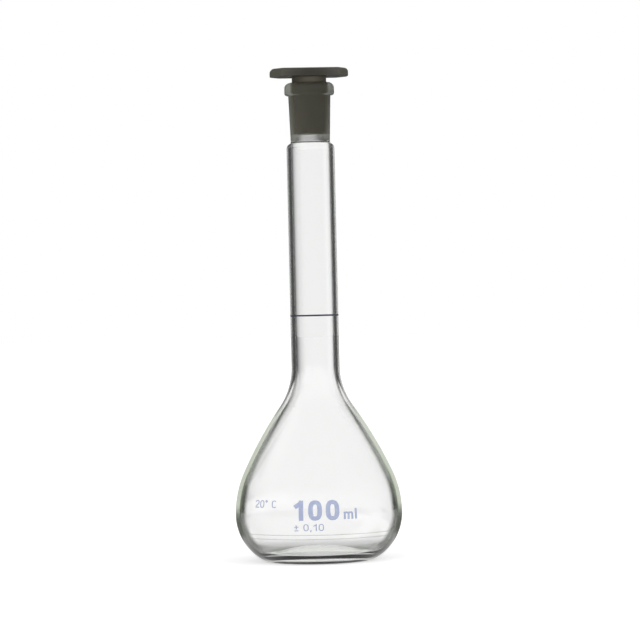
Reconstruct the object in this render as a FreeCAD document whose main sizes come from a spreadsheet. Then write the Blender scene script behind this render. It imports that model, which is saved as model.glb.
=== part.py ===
import FreeCAD, Part
import math
import os
import Sketcher

# Driving sizes, in millimetres and degrees
SIZES = {
    # bulb
    "body_diameter": 60.0,
    "belly_height": 17.0,
    "foot_inset": 12.0,
    "foot_width": 2.2,
    "heel_round": 5.5,
    "shoulder_round": 36.5,
    "shoulder_turn": 25.0,
    "cone_bow": 10.0,
    "wall": 1.42,
    "punt_rise": 2.6,
    "base_thickness": 2.4,
    "floor_round": 9.0,
    # neck
    "neck_diameter": 17.3,
    "neck_sweep": 25.0,
    "neck_top_drop": 2.8,
    "neck_top_round": 2.2,
    "bore_top_round": 1.5,
    # conical ground socket and lip
    "flask_height": 172.0,
    "joint_diameter": 12.5,
    "joint_length": 21.0,
    "joint_taper": 10.0,
    "ground_root_round": 0.8,
    "socket_root_round": 0.8,
    "socket_top_diameter": 15.3,
    "socket_flare": 1.9,
    "lip_diameter": 18.0,
    "lip_height": 4.6,
    "lip_round": 2.0,
    "lip_under_round": 0.9,
    "mouth_round": 0.5,
    # graduation ring
    "ring_height": 88.2,
    "ring_width": 0.5,
    "ring_film": 0.06,
    # stopper
    "seat_clearance": 0.06,
    "plug_depth": 18.5,
    "plug_tip_chamfer": 0.5,
    "plug_wall": 1.5,
    "core_draft": 1.0,
    "head_gap": 2.15,
    "head_width": 28.1,
    "head_overhang": 1.0,
    "head_thickness": 3.0,
    "corner_cut": 3.5,
    "corner_cut_depth": 5.0,
    "head_corner_round": 2.0,
    "head_edge_round": 1.5,
    "head_under_round": 0.3,
    "head_turn": 6.0,
}

# A sketch's own numbers for its axes, and for the points of an edge
H_AXIS, V_AXIS = range(-1, -3, -1)
ORIGIN = H_AXIS
START, END, CENTRE = range(1, 4)

# Lengths closer than this are the same length
SAME = 1e-4

doc = FreeCAD.newDocument("volumetric_flask")
sheet = doc.addObject("Spreadsheet::Sheet", "sizes")
for row, (name, value) in enumerate(SIZES.items(), start=1):
    sheet.set(f"A{row}", name)
    sheet.set(f"B{row}", str(value))
    sheet.setAlias(f"B{row}", name)
doc.recompute()


def size(name):
    """The value in the sheet's cell of that name."""
    return float(sheet.get(name))


class Outline:
    """A closed chain of lines and arcs in a sketch, each joined to the one before it."""

    def __init__(self, sketch):
        self.sketch = sketch
        self.heads = []
        self.tails = []

    def add(self, geometry, head, tail, smooth):
        """Adds an edge whose first point meets the last edge's end, in line with it where smooth."""
        index = self.sketch.addGeometry(geometry, False)
        if self.tails:
            kind = "Tangent" if smooth else "Coincident"
            before = self.tails[-1]
            self.sketch.addConstraint(Sketcher.Constraint(kind, before[0], before[1], index, head))
        self.heads.append((index, head))
        self.tails.append((index, tail))
        return index

    def line(self, start, end, smooth=False):
        """A straight edge."""
        return self.add(Part.LineSegment(vector(start), vector(end)), START, END, smooth)

    def arc(self, centre, radius, first, last, smooth=True):
        """An arc from one angle to another, in degrees; it runs clockwise where the angles fall."""
        circle = Part.Circle(vector(centre), FreeCAD.Vector(0, 0, 1), radius)
        low, high = sorted((math.radians(first), math.radians(last)))
        head, tail = (START, END) if first < last else (END, START)
        return self.add(Part.ArcOfCircle(circle, low, high), head, tail, smooth)

    def close(self):
        """Joins the last edge to the first."""
        tail, head = self.tails[-1], self.heads[0]
        self.sketch.addConstraint(Sketcher.Constraint("Coincident", tail[0], tail[1], head[0], head[1]))

    def bind(self, name, expression, kind, *where):
        """A dimension of that name which follows the sheet."""
        value = self.sketch.evalExpression(expression)
        number = float(getattr(value, "Value", value))
        if kind == "Angle":
            number = math.radians(number)
        index = self.sketch.addConstraint(Sketcher.Constraint(kind, *where, number))
        self.sketch.renameConstraint(index, name)
        self.sketch.setExpression(f"Constraints.{name}", expression)

    def fix(self, kind, *where):
        """A geometric condition without a size."""
        self.sketch.addConstraint(Sketcher.Constraint(kind, *where))


def vector(point):
    """A sketch point as a vector."""
    return FreeCAD.Vector(point[0], point[1], 0)


def polar(centre, radius, angle):
    """The point at that angle, in degrees, on a circle."""
    turn = math.radians(angle)
    return (centre[0] + radius * math.cos(turn), centre[1] + radius * math.sin(turn))


def bearing(start, end):
    """The direction from one point to another, in degrees from -180 to 180."""
    return math.degrees(math.atan2(end[1] - start[1], end[0] - start[0]))


def make_body(label):
    """An empty body of that name."""
    body = doc.addObject("PartDesign::Body", label)
    body.Label = label
    return body


def make_sketch(body, name, role):
    """A sketch on the body's own origin plane of that role."""
    plane = next(item for item in body.Origin.OriginFeatures if item.Role == role)
    sketch = body.newObject("Sketcher::SketchObject", name)
    sketch.AttachmentSupport = [(plane, "")]
    sketch.MapMode = "FlatFace"
    return sketch


def revolve(body, sketch, kind, name):
    """Turns a sketch once round the upright axis, to add to the body or to cut it."""
    feature = body.newObject(f"PartDesign::{kind}", name)
    feature.Profile = sketch
    feature.ReferenceAxis = (sketch, ["V_Axis"])
    feature.Angle = 360
    doc.recompute()
    return feature


def draw_glass_wall(sketch):
    """The wall's section: under the base, up the outside, over the lip and down the bore to the floor."""
    wall = size("wall")
    body_radius = size("body_diameter") / 2
    neck_radius = size("neck_diameter") / 2
    top = size("flask_height")
    belly = size("belly_height")

    # Base: a punt sprung from a flat foot ring, then the heel
    heel_round = size("heel_round")
    foot_outer = body_radius - size("foot_inset")
    foot_inner = foot_outer - size("foot_width")
    punt_rise = size("punt_rise")
    punt_round = (foot_inner**2 + punt_rise**2) / (2 * punt_rise)
    punt_centre = (0, punt_rise - punt_round)
    heel_centre = (foot_outer, heel_round)

    # Bulb: the belly arc meets the heel and is upright at the equator
    inset = size("foot_inset")
    rise = belly - heel_round
    belly_round = (inset**2 + rise**2 - heel_round**2) / (2 * (inset - heel_round))
    belly_centre = (body_radius - belly_round, belly)
    heel_end = bearing(belly_centre, heel_centre)

    # Shoulder, bowed cone and the sweep into the neck
    shoulder_round = size("shoulder_round")
    first_turn = size("shoulder_turn")
    last_turn = first_turn + size("cone_bow")
    sweep_round = size("neck_sweep")
    shoulder_centre = (body_radius - shoulder_round, belly)
    shoulder_end = polar(shoulder_centre, shoulder_round, first_turn)
    sweep_start = neck_radius + sweep_round * (1 - math.cos(math.radians(last_turn)))
    narrowing = math.cos(math.radians(first_turn)) - math.cos(math.radians(last_turn))
    cone_round = (shoulder_end[0] - sweep_start) / narrowing
    cone_centre = polar(shoulder_end, -cone_round, first_turn)
    sweep_centre = polar(cone_centre, cone_round + sweep_round, last_turn)

    # Neck top and the outside of the socket
    neck_top = top - size("joint_length") - size("neck_top_drop")
    crown_round = size("neck_top_round")
    root_round = size("socket_root_round")
    flare = size("socket_flare")
    crown_centre = (neck_radius - crown_round, neck_top)
    lip_under = top - size("lip_height")
    socket_top = (size("socket_top_diameter") / 2, lip_under)
    offset_top = polar(socket_top, root_round, -flare)
    downhill = -90 - flare
    across = polar((0, 0), 1, downhill)
    gap = (offset_top[0] - crown_centre[0], offset_top[1] - crown_centre[1])
    along = gap[0] * across[0] + gap[1] * across[1]
    reach = crown_round + root_round
    slide = -along - math.sqrt(along**2 - gap[0] ** 2 - gap[1] ** 2 + reach**2)
    root_centre = polar(offset_top, slide, downhill)
    crown_end = bearing(crown_centre, root_centre)

    # Lip, mouth and the ground cone
    lip_radius = size("lip_diameter") / 2
    lip_round = size("lip_round")
    lip_low = size("lip_under_round")
    mouth_round = size("mouth_round")
    slope = math.degrees(math.atan(0.5 / size("joint_taper")))
    ground_end_z = top - size("joint_length")
    ground_end = ((size("joint_diameter") - size("joint_length") / size("joint_taper")) / 2, ground_end_z)
    ground_wide = size("joint_diameter") / 2
    mouth_reach = mouth_round * (1 - math.sin(math.radians(slope))) / math.cos(math.radians(slope))
    mouth_centre = (ground_wide + mouth_reach, top - mouth_round)

    # Foot of the ground cone and the neck bore
    bore_radius = neck_radius - wall
    ground_root = size("ground_root_round")
    bore_round = size("bore_top_round")
    ground_root_centre = polar(ground_end, ground_root, -slope)
    bore_offset = ground_root_centre[0] - (bore_radius - bore_round)
    bore_drop = math.sqrt((ground_root + bore_round) ** 2 - bore_offset**2)
    bore_centre = (bore_radius - bore_round, ground_root_centre[1] - bore_drop)
    bore_bend = bearing(bore_centre, ground_root_centre)

    # Floor: a dome over the punt, rounded into the inner belly
    floor_round = size("floor_round")
    dome_round = punt_round + size("base_thickness")
    belly_reach = belly_round - wall - floor_round
    dome_reach = dome_round + floor_round
    apart = math.dist(belly_centre, punt_centre)
    share = (apart**2 + belly_reach**2 - dome_reach**2) / (2 * apart * belly_reach)
    lean = bearing(belly_centre, punt_centre) + math.degrees(math.acos(share))
    floor_centre = polar(belly_centre, belly_reach, lean)
    floor_start = bearing(belly_centre, floor_centre)
    floor_end = bearing(floor_centre, punt_centre)
    dome_start = bearing(punt_centre, floor_centre)

    path = Outline(sketch)
    punt = path.arc(punt_centre, punt_round, 90, bearing(punt_centre, (foot_inner, 0)))
    foot = path.line((foot_inner, 0), (foot_outer, 0))
    heel = path.arc(heel_centre, heel_round, -90, heel_end)
    belly_arc = path.arc(belly_centre, belly_round, heel_end, 0)
    shoulder = path.arc(shoulder_centre, shoulder_round, 0, first_turn)
    cone = path.arc(cone_centre, cone_round, first_turn, last_turn)
    sweep = path.arc(sweep_centre, sweep_round, 180 + last_turn, 180)
    neck = path.line((neck_radius, sweep_centre[1]), (neck_radius, neck_top), True)
    crown = path.arc(crown_centre, crown_round, 0, crown_end)
    root = path.arc(root_centre, root_round, 180 + crown_end, 180 - flare)
    socket = path.line(polar(root_centre, root_round, 180 - flare), socket_top, True)
    under = path.line(socket_top, (lip_radius - lip_low, lip_under))
    low_round = path.arc((lip_radius - lip_low, lip_under + lip_low), lip_low, -90, 0)
    side = path.line((lip_radius, lip_under + lip_low), (lip_radius, top - lip_round), True)
    high_round = path.arc((lip_radius - lip_round, top - lip_round), lip_round, 0, 90)
    rim = path.line((lip_radius - lip_round, top), (mouth_centre[0], top), True)
    mouth = path.arc(mouth_centre, mouth_round, 90, 180 - slope)
    ground = path.line(polar(mouth_centre, mouth_round, 180 - slope), ground_end, True)
    ground_bend = path.arc(ground_root_centre, ground_root, 180 - slope, 180 + bore_bend)
    bore_arc = path.arc(bore_centre, bore_round, bore_bend, 0)
    bore = path.line((bore_radius, bore_centre[1]), (bore_radius, sweep_centre[1]), True)
    sweep_in = path.arc(sweep_centre, sweep_round + wall, 180, 180 + last_turn)
    cone_in = path.arc(cone_centre, cone_round - wall, last_turn, first_turn)
    shoulder_in = path.arc(shoulder_centre, shoulder_round - wall, first_turn, 0)
    belly_in = path.arc(belly_centre, belly_round - wall, 0, floor_start)
    floor_arc = path.arc(floor_centre, floor_round, floor_start, floor_end)
    dome = path.arc(punt_centre, dome_round, dome_start, 90)
    axis = path.line((0, punt_centre[1] + dome_round), (0, punt_rise))
    path.close()

    # What lies on the axis and on the standing plane
    path.fix("PointOnObject", punt, CENTRE, V_AXIS)
    path.fix("PointOnObject", axis, START, V_AXIS)
    path.fix("PointOnObject", axis, END, V_AXIS)
    path.fix("PointOnObject", foot, START, H_AXIS)
    path.fix("PointOnObject", foot, END, H_AXIS)
    path.fix("Horizontal", belly_arc, CENTRE, belly_arc, END)
    for edge in (neck, side, bore):
        path.fix("Vertical", edge)
    for edge in (under, rim):
        path.fix("Horizontal", edge)

    # The inner wall keeps the outer wall's centres
    outside = (sweep, cone, shoulder, belly_arc, punt)
    inside = (sweep_in, cone_in, shoulder_in, belly_in, dome)
    for outer, inner in zip(outside, inside):
        path.fix("Coincident", inner, CENTRE, outer, CENTRE)

    path.bind("punt_rise", "sizes.punt_rise", "DistanceY", ORIGIN, START, axis, END)
    path.bind("base", "sizes.base_thickness", "DistanceY", axis, END, axis, START)
    path.bind("foot_width", "sizes.foot_width", "DistanceX", foot, START, foot, END)
    path.bind("foot", "sizes.body_diameter / 2 - sizes.foot_inset", "DistanceX", ORIGIN, START, foot, END)
    path.bind("heel", "sizes.heel_round", "Radius", heel)
    path.bind("belly", "sizes.belly_height", "DistanceY", ORIGIN, START, belly_arc, END)
    path.bind("body", "sizes.body_diameter / 2", "DistanceX", ORIGIN, START, belly_arc, END)
    path.bind("shoulder", "sizes.shoulder_round", "Radius", shoulder)
    path.bind("shoulder_turn", "sizes.shoulder_turn * 1 deg", "Angle", shoulder)
    path.bind("sweep_turn", "(sizes.shoulder_turn + sizes.cone_bow) * 1 deg", "Angle", sweep)
    path.bind("sweep", "sizes.neck_sweep", "Radius", sweep)
    path.bind("neck", "sizes.neck_diameter / 2", "DistanceX", ORIGIN, START, neck, END)
    path.bind("neck_top", "sizes.flask_height - sizes.joint_length - sizes.neck_top_drop",
              "DistanceY", ORIGIN, START, neck, END)
    path.bind("crown", "sizes.neck_top_round", "Radius", crown)
    path.bind("root", "sizes.socket_root_round", "Radius", root)
    path.bind("flare", "(90 - sizes.socket_flare) * 1 deg", "Angle", socket)
    path.bind("socket_top", "sizes.socket_top_diameter / 2", "DistanceX", ORIGIN, START, socket, END)
    path.bind("lip_under", "sizes.flask_height - sizes.lip_height", "DistanceY", ORIGIN, START, socket, END)
    path.bind("lip", "sizes.lip_diameter / 2", "DistanceX", ORIGIN, START, side, START)
    path.bind("lip_low", "sizes.lip_under_round", "Radius", low_round)
    path.bind("lip_round", "sizes.lip_round", "Radius", high_round)
    path.bind("top", "sizes.flask_height", "DistanceY", ORIGIN, START, rim, START)
    path.bind("mouth", "sizes.mouth_round", "Radius", mouth)
    path.bind("taper", "-90 deg - atan(0.5 / sizes.joint_taper)", "Angle", ground)
    path.bind("ground_end", "(sizes.joint_diameter - sizes.joint_length / sizes.joint_taper) / 2",
              "DistanceX", ORIGIN, START, ground, END)
    path.bind("ground_low", "sizes.flask_height - sizes.joint_length",
              "DistanceY", ORIGIN, START, ground, END)
    path.bind("ground_bend", "sizes.ground_root_round", "Radius", ground_bend)
    path.bind("bore_bend", "sizes.bore_top_round", "Radius", bore_arc)
    path.bind("bore", "sizes.neck_diameter / 2 - sizes.wall", "DistanceX", ORIGIN, START, bore, END)
    path.bind("floor", "sizes.floor_round", "Radius", floor_arc)


def make_flask():
    """The glass: bulb, neck, socket and lip in one blown piece."""
    body = make_body("flask")
    section = make_sketch(body, "glass_wall", "XZ_Plane")
    draw_glass_wall(section)
    revolve(body, section, "Revolution", "blown_glass")
    return body


def make_ring():
    """The graduation mark: a thin fired line round the neck."""
    film = doc.addObject("Part::Cylinder", "ring_film")
    film.setExpression("Radius", "sizes.neck_diameter / 2 + sizes.ring_film")
    neck = doc.addObject("Part::Cylinder", "ring_neck")
    neck.setExpression("Radius", "sizes.neck_diameter / 2")
    for cylinder in (film, neck):
        cylinder.setExpression("Height", "sizes.ring_width")
        cylinder.setExpression("Placement.Base.z", "sizes.ring_height - sizes.ring_width / 2")
    ring = doc.addObject("Part::Cut", "graduation_ring")
    ring.Base = film
    ring.Tool = neck
    ring.Label = "graduation_ring"
    doc.recompute()
    return ring


def draw_plug(sketch):
    """The stopper's outer half section: a tapered plug, and a stem up into the head."""
    top = size("flask_height")
    tip_z = top - size("plug_depth")
    stem = size("joint_diameter") / 2 - size("seat_clearance")
    tip = stem - size("plug_depth") / size("joint_taper") / 2
    chamfer = size("plug_tip_chamfer")
    chamfer_top = (tip + chamfer / size("joint_taper") / 2, tip_z + chamfer)
    head_middle = top + size("head_gap") + size("head_thickness") / 2

    path = Outline(sketch)
    bottom = path.line((0, tip_z), (tip - chamfer, tip_z))
    edge = path.line((tip - chamfer, tip_z), chamfer_top)
    taper = path.line(chamfer_top, (stem, top))
    stem_side = path.line((stem, top), (stem, head_middle))
    inside = path.line((stem, head_middle), (0, head_middle))
    axis = path.line((0, head_middle), (0, tip_z))
    path.close()

    path.fix("PointOnObject", bottom, START, V_AXIS)
    path.fix("PointOnObject", axis, START, V_AXIS)
    path.fix("Horizontal", bottom)
    path.fix("Vertical", stem_side)
    path.fix("Horizontal", inside)
    path.bind("tip", "sizes.flask_height - sizes.plug_depth", "DistanceY", ORIGIN, START, bottom, END)
    path.bind("chamfer", "sizes.plug_tip_chamfer", "DistanceY", edge, START, edge, END)
    path.bind("chamfer_in", "sizes.plug_tip_chamfer * (1 + 0.5 / sizes.joint_taper)", "DistanceX",
              edge, START, edge, END)
    path.bind("stem", "sizes.joint_diameter / 2 - sizes.seat_clearance",
              "DistanceX", ORIGIN, START, taper, END)
    path.bind("seat", "sizes.flask_height", "DistanceY", ORIGIN, START, taper, END)
    path.bind("taper", "90 deg - atan(0.5 / sizes.joint_taper)", "Angle", taper)
    path.bind("head_middle", "sizes.flask_height + sizes.head_gap + sizes.head_thickness / 2",
              "DistanceY", ORIGIN, START, inside, END)


def draw_core(sketch):
    """The hollow moulded up into the plug, with draft, as high as the head's underside."""
    tip_z = size("flask_height") - size("plug_depth")
    roof = size("flask_height") + size("head_gap")
    tip = (size("joint_diameter") - size("plug_depth") / size("joint_taper")) / 2 - size("seat_clearance")
    mouth = tip - size("plug_wall")
    narrow = mouth - (roof - tip_z) * math.tan(math.radians(size("core_draft")))

    path = Outline(sketch)
    bottom = path.line((0, tip_z), (mouth, tip_z))
    side = path.line((mouth, tip_z), (narrow, roof))
    ceiling = path.line((narrow, roof), (0, roof))
    axis = path.line((0, roof), (0, tip_z))
    path.close()

    path.fix("PointOnObject", bottom, START, V_AXIS)
    path.fix("PointOnObject", axis, START, V_AXIS)
    path.fix("Horizontal", bottom)
    path.fix("Horizontal", ceiling)
    path.bind("tip", "sizes.flask_height - sizes.plug_depth", "DistanceY", ORIGIN, START, bottom, END)
    path.bind("roof", "sizes.flask_height + sizes.head_gap", "DistanceY", ORIGIN, START, ceiling, END)
    path.bind("mouth", "(sizes.joint_diameter - sizes.plug_depth / sizes.joint_taper) / 2"
              " - sizes.seat_clearance - sizes.plug_wall", "DistanceX", ORIGIN, START, side, START)
    path.bind("draft", "(90 + sizes.core_draft) * 1 deg", "Angle", side)


def draw_head(sketch):
    """The grip plate's outline: a long octagon, the same on both sides of both axes."""
    length = size("head_width") / 2
    depth = size("joint_diameter") / 2 - size("seat_clearance") + size("head_overhang")
    flat = length - size("corner_cut")
    end = depth - size("corner_cut_depth")
    corners = [(flat, -depth), (length, -end), (length, end), (flat, depth)]
    corners += [(-x, y) for x, y in reversed(corners)]

    path = Outline(sketch)
    edges = [path.line(start, stop) for start, stop in zip(corners, corners[1:] + corners[:1])]
    path.close()

    front, near, far, back = edges[:4]
    for right, left in zip(edges[:4], reversed(edges[4:])):
        path.fix("Symmetric", right, START, left, START, V_AXIS)
    path.fix("Symmetric", front, START, back, START, H_AXIS)
    path.fix("Symmetric", near, START, far, START, H_AXIS)
    path.bind("length", "sizes.head_width / 2", "DistanceX", ORIGIN, START, near, START)
    path.bind("flat", "sizes.head_width / 2 - sizes.corner_cut", "DistanceX", ORIGIN, START, back, START)
    path.bind("depth", "sizes.joint_diameter / 2 - sizes.seat_clearance + sizes.head_overhang",
              "DistanceY", ORIGIN, START, back, START)
    path.bind("cut", "sizes.corner_cut_depth", "DistanceY", far, START, back, START)


def edge_names(shape, chosen):
    """The names of the edges that a test picks."""
    return [f"Edge{number}" for number, edge in enumerate(shape.Edges, start=1) if chosen(edge)]


def round_edges(body, name, base, radius, chosen):
    """Rounds the picked edges of a feature by a size of the sheet."""
    fillet = body.newObject("PartDesign::Fillet", name)
    fillet.Base = (base, edge_names(base.Shape, chosen))
    fillet.setExpression("Radius", f"sizes.{radius}")
    doc.recompute()
    return fillet


def make_stopper():
    """The moulded stopper: grip plate, stem and hollow plug in one piece."""
    under = size("flask_height") + size("head_gap")
    top = under + size("head_thickness")

    def is_level(edge, height):
        return all(abs(vertex.Z - height) < SAME for vertex in edge.Vertexes)

    def is_corner(edge):
        return abs(edge.BoundBox.ZMin - under) < SAME and abs(edge.BoundBox.ZMax - top) < SAME

    def is_rim(edge):
        return is_level(edge, top)

    def is_underside(edge):
        return is_level(edge, under) and len(edge.Vertexes) > 1

    body = make_body("stopper")
    plug_section = make_sketch(body, "plug_section", "XZ_Plane")
    draw_plug(plug_section)
    revolve(body, plug_section, "Revolution", "plug")

    plate_outline = make_sketch(body, "plate_outline", "XY_Plane")
    plate_outline.setExpression("AttachmentOffset.Base.z", "sizes.flask_height + sizes.head_gap")
    draw_head(plate_outline)
    plate = body.newObject("PartDesign::Pad", "grip_plate")
    plate.Profile = plate_outline
    plate.setExpression("Length", "sizes.head_thickness")
    doc.recompute()

    corners = round_edges(body, "plate_corners", plate, "head_corner_round", is_corner)
    rim = round_edges(body, "plate_rim", corners, "head_edge_round", is_rim)
    round_edges(body, "plate_underside", rim, "head_under_round", is_underside)

    core_section = make_sketch(body, "core_section", "XZ_Plane")
    draw_core(core_section)
    before = body.Shape.Volume
    revolve(body, core_section, "Groove", "core")
    if body.Shape.Volume >= before:
        raise RuntimeError("the core cut nothing out of the plug")
    body.setExpression("Placement.Rotation.Angle", "sizes.head_turn * 1 deg")
    doc.recompute()
    return body


def contained_volume(glass):
    """Millilitres that the flask holds up to the graduation ring."""
    column = Part.makeCylinder(size("body_diameter"), size("ring_height"))
    inside = FreeCAD.Vector(0, 0, size("belly_height"))
    spaces = column.cut(glass).Solids
    return next(space.Volume for space in spaces if space.isInside(inside, 1e-6, False)) / 1000


pieces = [make_flask(), make_ring(), make_stopper()]
doc.recompute()
for item in doc.Objects:
    if "Invalid" in item.State or "Error" in item.State:
        raise RuntimeError(f"{item.Label} failed: {item.State}")
for piece in pieces:
    if piece.Shape.isNull() or not piece.Shape.isValid() or len(piece.Shape.Solids) != 1:
        raise RuntimeError(f"{piece.Label} is not one valid solid")
os.makedirs("parts", exist_ok=True)
for piece in pieces:
    piece.Shape.exportStep(f"parts/{piece.Label}.step")
    print(piece.Label, round(piece.Shape.Volume, 2), piece.Shape.BoundBox)
print("holds", round(contained_volume(pieces[0].Shape), 2), "ml to the ring")
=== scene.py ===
"""Looks of a volumetric flask: clear blown glass, fired blue marks and a moulded stopper."""

import logging
import math
from dataclasses import dataclass
from enum import Enum
from typing import Any, Iterable

import bpy
import numpy as np
from bpy.types import Material, Node, NodeSocket, Object, World
from mathutils import Matrix, Vector


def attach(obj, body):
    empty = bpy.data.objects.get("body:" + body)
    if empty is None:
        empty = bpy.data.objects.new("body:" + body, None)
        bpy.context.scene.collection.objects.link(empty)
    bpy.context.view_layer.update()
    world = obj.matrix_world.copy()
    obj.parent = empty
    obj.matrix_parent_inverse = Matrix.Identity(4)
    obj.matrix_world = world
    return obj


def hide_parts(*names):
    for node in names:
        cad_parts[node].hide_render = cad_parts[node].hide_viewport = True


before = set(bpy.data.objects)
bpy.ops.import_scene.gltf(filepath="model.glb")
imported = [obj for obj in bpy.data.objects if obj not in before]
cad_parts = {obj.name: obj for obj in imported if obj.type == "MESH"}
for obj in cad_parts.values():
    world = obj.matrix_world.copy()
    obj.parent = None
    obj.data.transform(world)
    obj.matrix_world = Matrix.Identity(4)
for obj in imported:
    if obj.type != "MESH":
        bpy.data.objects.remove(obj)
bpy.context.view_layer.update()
MM = 0.001
DEG = math.radians(1)
ARC_STEPS = 6
SAME_POINT = 1e-6
# A Mix node's colour sockets, by number because its other sockets have the same names.
MIX_FIRST, MIX_SECOND, MIX_RESULT = 6, 7, 2

log = logging.getLogger("volumetric_flask")

Colour = tuple[float, float, float]
Pair = tuple[float, float]
Spot = tuple[float, float, float]
Points = np.ndarray
Inputs = dict[Any, Any] | None
Settings = dict[str, Any] | None


class Body(Enum):
    """The body that the new pieces ride on."""

    GLASS = "glass"


class Slot(Enum):
    """The finishes' names."""

    GLASS = "clear_glass"
    ENAMEL = "blue_enamel"
    PLASTIC = "grey_plastic"


class Value:
    """A number that varies over a surface; sums and products of values become nodes."""

    def __init__(self, graph: "Graph", socket: NodeSocket) -> None:
        """Wraps an output socket of a graph."""
        self.graph = graph
        self.socket = socket

    def _math(self, operation: str, *terms: Any) -> "Value":
        """The result of one Math node, whose inputs are values or numbers."""
        inputs = dict(enumerate(terms))
        return self.graph.value("ShaderNodeMath", inputs, {"operation": operation})

    def __add__(self, other: Any) -> "Value":
        """The sum."""
        return self._math("ADD", self, other)

    __radd__ = __add__

    def __sub__(self, other: Any) -> "Value":
        """The difference."""
        return self._math("SUBTRACT", self, other)

    def __rsub__(self, other: Any) -> "Value":
        """The difference, the other way round."""
        return self._math("SUBTRACT", other, self)

    def __mul__(self, other: Any) -> "Value":
        """The product."""
        return self._math("MULTIPLY", self, other)

    __rmul__ = __mul__

    def __pow__(self, other: Any) -> "Value":
        """The power."""
        return self._math("POWER", self, other)

    def bearing_from(self, other: "Value") -> "Value":
        """The angle whose tangent is this value over the other, in radians."""
        return self._math("ARCTAN2", self, other)

    def size(self) -> "Value":
        """The value without its sign."""
        return self._math("ABSOLUTE", self)

    def larger(self, other: Any) -> "Value":
        """The larger of the two."""
        return self._math("MAXIMUM", self, other)

    def smaller(self, other: Any) -> "Value":
        """The smaller of the two."""
        return self._math("MINIMUM", self, other)

    def step(self, span: Pair, unit: float = 1.0) -> "Value":
        """Rises smoothly from 0 to 1, or falls from 1 to 0.

        Args:
            span: where it is 0 and where it is 1; it falls where the second is the lower one.
            unit: what the two levels are counted in.

        Returns:
            The stepped value.
        """
        low, high = sorted(level * unit for level in span)
        first, last = (0.0, 1.0) if span[0] < span[1] else (1.0, 0.0)
        inputs = {"Value": self, "From Min": low, "From Max": high, "To Min": first, "To Max": last}
        return self.graph.value("ShaderNodeMapRange", inputs, {"interpolation_type": "SMOOTHSTEP"})


@dataclass(frozen=True)
class Place:
    """A point's own coordinates on its object, in metres."""

    x: Value
    y: Value
    z: Value

    def radius(self) -> Value:
        """The distance from the flask's axis."""
        return (self.x * self.x + self.y * self.y) ** 0.5

    def bearing(self) -> Value:
        """The turn from +Y towards +X, in radians."""
        return self.x.bearing_from(self.y)


class Graph:
    """The nodes of one material or of the world."""

    def __init__(self, owner: Material | World) -> None:
        """Gives a material or the world an empty node tree.

        Args:
            owner: the material or the world.
        """
        owner.use_nodes = True
        self.tree = owner.node_tree
        self.tree.nodes.clear()

    def node(self, kind: str, inputs: Inputs = None, settings: Settings = None) -> Node:
        """Adds a node.

        Args:
            kind: the node's type.
            inputs: numbers, linear colours or links of its sockets, by name or number.
            settings: its own properties, set before the sockets.

        Returns:
            The new node.
        """
        made = self.tree.nodes.new(kind)
        for name, setting in (settings or {}).items():
            setattr(made, name, setting)
        for name, given in (inputs or {}).items():
            socket = made.inputs[name]
            if isinstance(given, Value):
                given = given.socket
            if isinstance(given, NodeSocket):
                self.tree.links.new(given, socket)
            else:
                socket.default_value = (*given, 1.0) if socket.type == "RGBA" else given
        return made

    def value(self, kind: str, inputs: Inputs = None, settings: Settings = None,
              output: Any = 0) -> Value:
        """Adds a node and returns one of its outputs as a value."""
        return Value(self, self.node(kind, inputs, settings).outputs[output])

    def place(self) -> Place:
        """The point's own coordinates."""
        split = self.node("ShaderNodeSeparateXYZ", {"Vector": self.coords()})
        return Place(*(Value(self, split.outputs[axis]) for axis in "XYZ"))

    def coords(self) -> NodeSocket:
        """The socket of the object's own coordinates."""
        return self.node("ShaderNodeTexCoord").outputs["Object"]

    def noise(self, scale: float, detail: float = 2.0) -> Value:
        """Cloudy noise on the object's own coordinates, from 0 to 1."""
        inputs = {"Vector": self.coords(), "Scale": scale, "Detail": detail}
        return self.value("ShaderNodeTexNoise", inputs, output="Fac")

    def mix(self, share: Value, first: Any, second: Any) -> NodeSocket:
        """A colour between two, each a colour or a socket: the first where the share is 0."""
        inputs = {"Factor": share, MIX_FIRST: first, MIX_SECOND: second}
        return self.node("ShaderNodeMix", inputs, {"data_type": "RGBA"}).outputs[MIX_RESULT]

    def bump(self, height: Value, depth: float) -> NodeSocket:
        """A normal that follows a height of that depth, in metres."""
        return self.node("ShaderNodeBump", {"Height": height, "Distance": depth}).outputs["Normal"]

    def ray(self, kind: str) -> Value:
        """1 for rays of that kind, and 0 for others."""
        return self.value("ShaderNodeLightPath", output=kind)

    def seen(self) -> Value:
        """1 for what the eye, a reflection or the glass sees, and 0 for light on its way."""
        mirrored = self.ray("Is Glossy Ray").larger(self.ray("Is Transmission Ray"))
        return self.ray("Is Camera Ray").larger(mirrored)

    def slant(self) -> Value:
        """0 where the surface faces the ray, and 1 where the ray grazes it."""
        return self.value("ShaderNodeLayerWeight", {"Blend": 0.5}, output="Facing")

    def blend(self, share: Value, first: Node, second: Node) -> Node:
        """A shader between two: the first where the share is 0, and the second where it is 1."""
        links = {0: share, 1: first.outputs[0], 2: second.outputs[0]}
        return self.node("ShaderNodeMixShader", links)

    def finish(self, surface: Node, volume: Node | None = None) -> None:
        """Links the shaders to a material's output.

        Args:
            surface: the surface's shader.
            volume: the shader of what it encloses, if there is one.
        """
        links = {"Surface": surface.outputs[0]}
        if volume is not None:
            links["Volume"] = volume.outputs[0]
        self.node("ShaderNodeOutputMaterial", links)


def new_material(name: str) -> tuple[Material, Graph]:
    """An empty node material of that name, and its graph."""
    material = bpy.data.materials.new(name)
    return material, Graph(material)


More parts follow.
